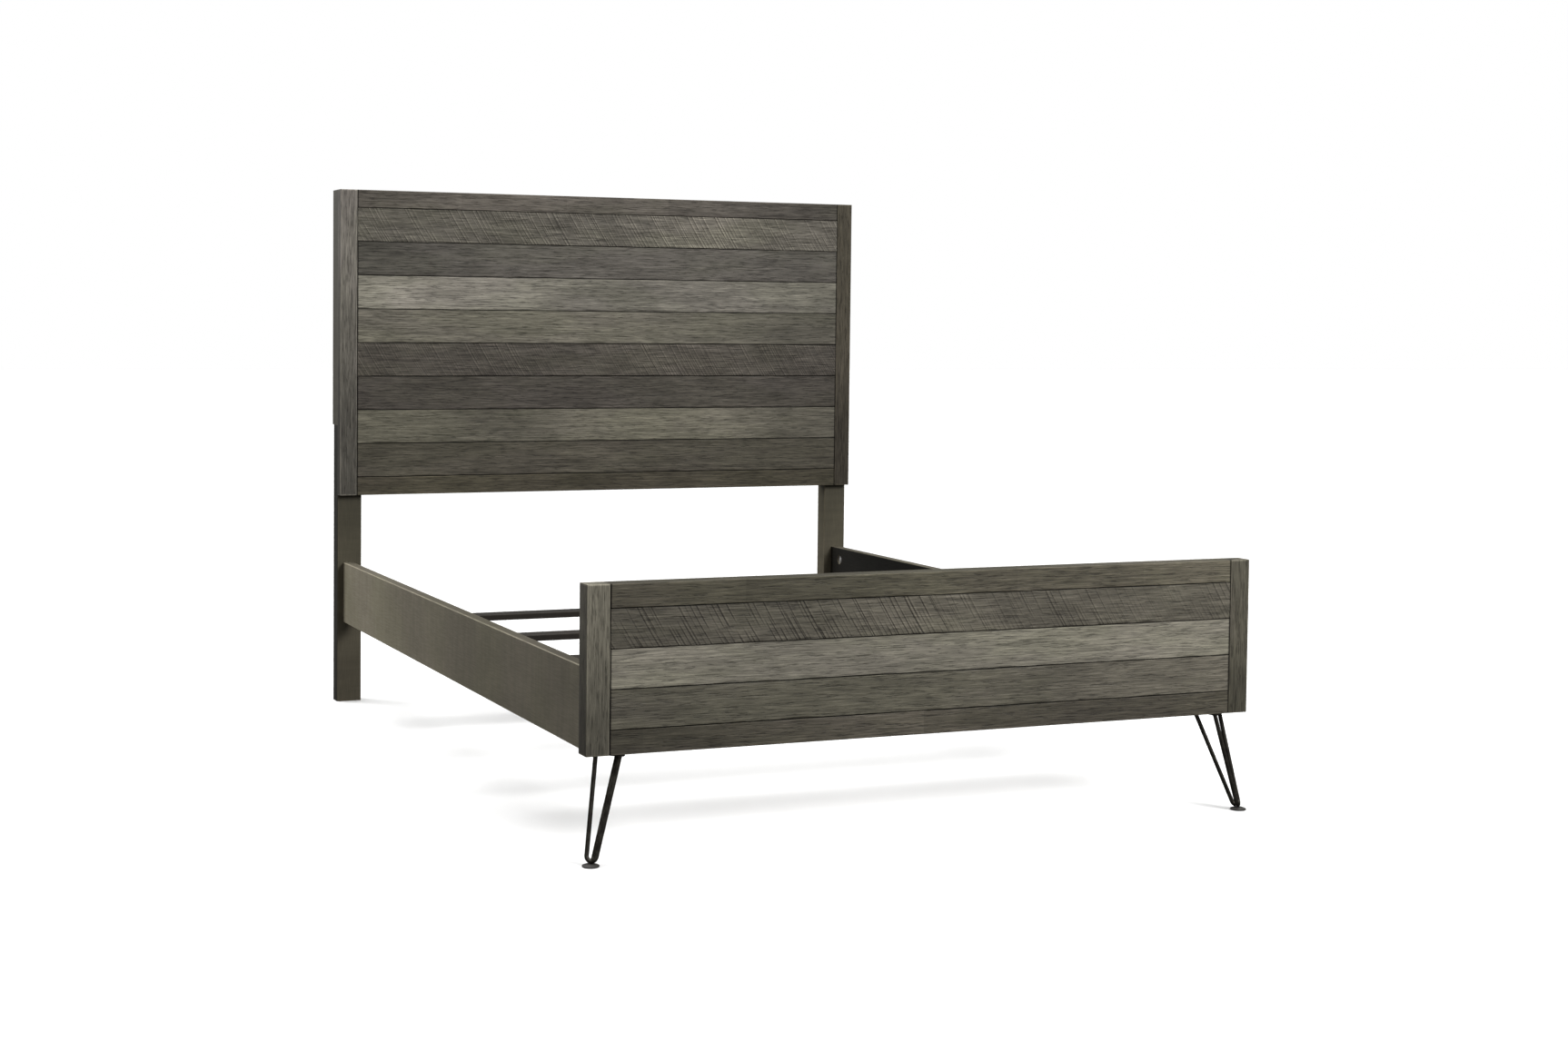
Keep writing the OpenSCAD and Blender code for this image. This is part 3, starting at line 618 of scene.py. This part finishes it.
RAIL_TONE = (0.202, 0.180, 0.133)
LEG_TONE = (0.064, 0.056, 0.039)
SLAT_TONE = (0.019, 0.0155, 0.012)


def make_planks(end, planks, seed, cuts):
    """The face planks of one end. cuts is the strength of the saw marks' dark cuts and light ridges."""
    for number, (slot, tone, shares, marks) in enumerate(planks, 1):
        node = f"{end}_plank_{number}"
        own = seed + 10 * number
        material = weathered(node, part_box(node), X, tone, own, shares, marks=cuts)
        piece = make_board(node + "_face", node, X, GROOVE_WIDTH, own, joints=(-1, 1), marks=marks)
        stand_for(piece, node, material)


def make_front_frame(end, boards, seed, side_share):
    """The stiles and rails around the planks. The stiles' outer sides are darker than their fronts, and so
    are the tops of the rails."""
    for number, (part, (along, joints, tone, shares)) in enumerate(boards.items()):
        node = f"{end}_{part}"
        own = seed + 10 * number
        low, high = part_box(node)
        if along == Z:
            side = (X, high.x, 1, side_share) if low.x > 0 else (X, low.x, -1, side_share)
        else:
            side = (Z, high.z, 1, 0.6)
        grain, edge_wear_and_highlight, blocks = (0.5, 0.9, 0) if along == Z else (1, 0.5, 0.12)
        material = weathered(node, (low, high), along, tone, own, shares, grain, edge_wear_and_highlight, blocks, [side])
        ease = 2.5 * MM if along == Z else 1.5 * MM
        hollow = 0.1 if along == Z else 0.25
        piece = make_board(node + "_board", node, along, ease, own, joints, hollow=hollow)
        stand_for(piece, node, material)


def finish_timber():
    for side, way in (("left", -1), ("right", 1)):
        node = side + "_side_rail"
        low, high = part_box(node)
        # The rails' faces towards the middle of the bed are darkened almost to black: painted shade. The
        # shares make each rail darker towards the foot end: painted shade.
        inner_painted_shade = (X, low.x if way > 0 else high.x, -way, 0.06)
        top = (Z, high.z, 1, 0.42)
        shares = (0.7, 0.82, 1, 1.2)
        paint(node, stained(node, (low, high), Y, RAIL_TONE, 20 + way, 0.9, [inner_painted_shade, top], shares))
        # The legs' shares make them darker towards the top, under the headboard panel: painted shade. The
        # left leg's left side is darkened to a fifth: painted shade. The right leg's left side is lightened
        # 1.6 times.
        node = f"headboard_{side}_leg"
        low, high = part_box(node)
        left_side = (X, low.x, -1, 0.2 if way < 0 else 1.6)
        paint(node, stained(node, (low, high), Z, LEG_TONE, 30 + way, 0.6, [left_side], (1.4, 1.3, 1)))
        node = f"headboard_rear_{side}_stile"
        paint(node, stained(node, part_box(node), Z, (0.08, 0.072, 0.059), 40 + way))
        node = side + "_leg_block"
        paint(node, stained(node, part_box(node), X, LEG_TONE, 50 + way))
        node = side + "_slat_cleat"
        paint(node, stained(node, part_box(node), Y, (0.05, 0.043, 0.033), 60 + way))
    for number, (part, axis) in enumerate((("top_rail", X), ("bottom_rail", X), ("brace", Z))):
        node = "headboard_rear_" + part
        paint(node, stained(node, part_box(node), axis, (0.07, 0.062, 0.048), 70 + number))
    for number in range(1, 5):
        node = f"slat_{number}"
        paint(node, stained(node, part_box(node), X, SLAT_TONE, 80 + number))
    for number, end in enumerate(("headboard", "footboard")):
        bare = raw_ply(end + "_ply", X, (0.36, 0.26, 0.15), 90 + number)
        paint(end + "_backing", bare)
        paint(end + "_dowels", bare)


def finish_metal():
    steel, zinc, foot = black_steel(), zinc_steel("zinc_steel"), foot_plastic()
    threaded = zinc_steel("zinc_thread", Y)
    for side in ("left", "right"):
        for part in ("plate", "bent_rod", "third_rod"):
            paint(f"{side}_hairpin_{part}", steel)
        paint(f"{side}_hairpin_foot", foot)
    for node in (
        "headboard_frame_screws", "leg_bolts", "leg_bolt_washers", "leg_bolt_inserts", "leg_block_screws",
        "hairpin_plate_screws", "half_moon_washers", "rail_bolt_nuts", "cleat_screws", "slat_screws",
    ):
        paint(node, zinc)
    for node in ("headboard_rail_bolts", "footboard_rail_bolts"):
        paint(node, threaded)


PLATE_CENTRE = (0.73, -1.033)
ROD_SPREAD = 31.5 * MM


def weld_bead(name, centre, radius, seed):
    """A lumpy level ring of weld metal around a rod."""
    turns, sides = 64, 12
    around = np.arange(turns) * math.tau / turns
    section = np.arange(sides) * math.tau / sides
    u, v = np.meshgrid(around, section, indexing="ij")
    lumps = 1 + 0.16 * np.cos(15 * u) + 0.12 * waves(u, v * 0, seed, 1.7, 1.0)
    thick = 1.5 * MM * lumps
    out = radius + thick * np.cos(v)
    points = np.stack([out * np.cos(u), out * np.sin(u), thick * np.sin(v)], 2).reshape(-1, 3)
    first = np.arange(turns * sides).reshape(turns, sides)
    after = np.roll(first, -1, 0)
    quads = np.stack([first, after, np.roll(after, -1, 1), np.roll(first, -1, 1)], 2).reshape(-1, 4)
    mesh = bpy.data.meshes.new(name)
    mesh.from_pydata((points + np.array(centre)).tolist(), [], quads.tolist())
    mesh.shade_smooth()
    bead = bpy.data.objects.new(name, mesh)
    bpy.context.scene.collection.objects.link(bead)
    return bead


def weld_hairpins():
    """Weld beads where the rods of each leg meet its plate: a third of a turn apart, around its centre."""
    steel = bpy.data.materials["black_steel"]
    for side, way in (("left", -1), ("right", 1)):
        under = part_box(side + "_hairpin_plate")[0].z
        for number, turn in enumerate((15, 135, 255), 1):
            turn = math.radians(turn)
            out = Vector((way * math.cos(turn), math.sin(turn), 0)) * ROD_SPREAD
            top = Vector((way * PLATE_CENTRE[0], PLATE_CENTRE[1], under)) + out
            bead = weld_bead(f"{side}_hairpin_weld_{number}", top, 5.2 * MM, 500 + number)
            bead.data.materials.append(steel)
            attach(bead, "root")


make_camera()
make_world()
make_light()
make_floor()
make_planks("headboard", HEADBOARD_PLANKS, 100, (0.6, 0.9))
make_planks("footboard", FOOTBOARD_PLANKS, 200, (0.9, 0.45))
make_front_frame("headboard", HEADBOARD_FRAME, 300, 0.5)
make_front_frame("footboard", FOOTBOARD_FRAME, 400, 0.62)
finish_timber()
finish_metal()
weld_hairpins()
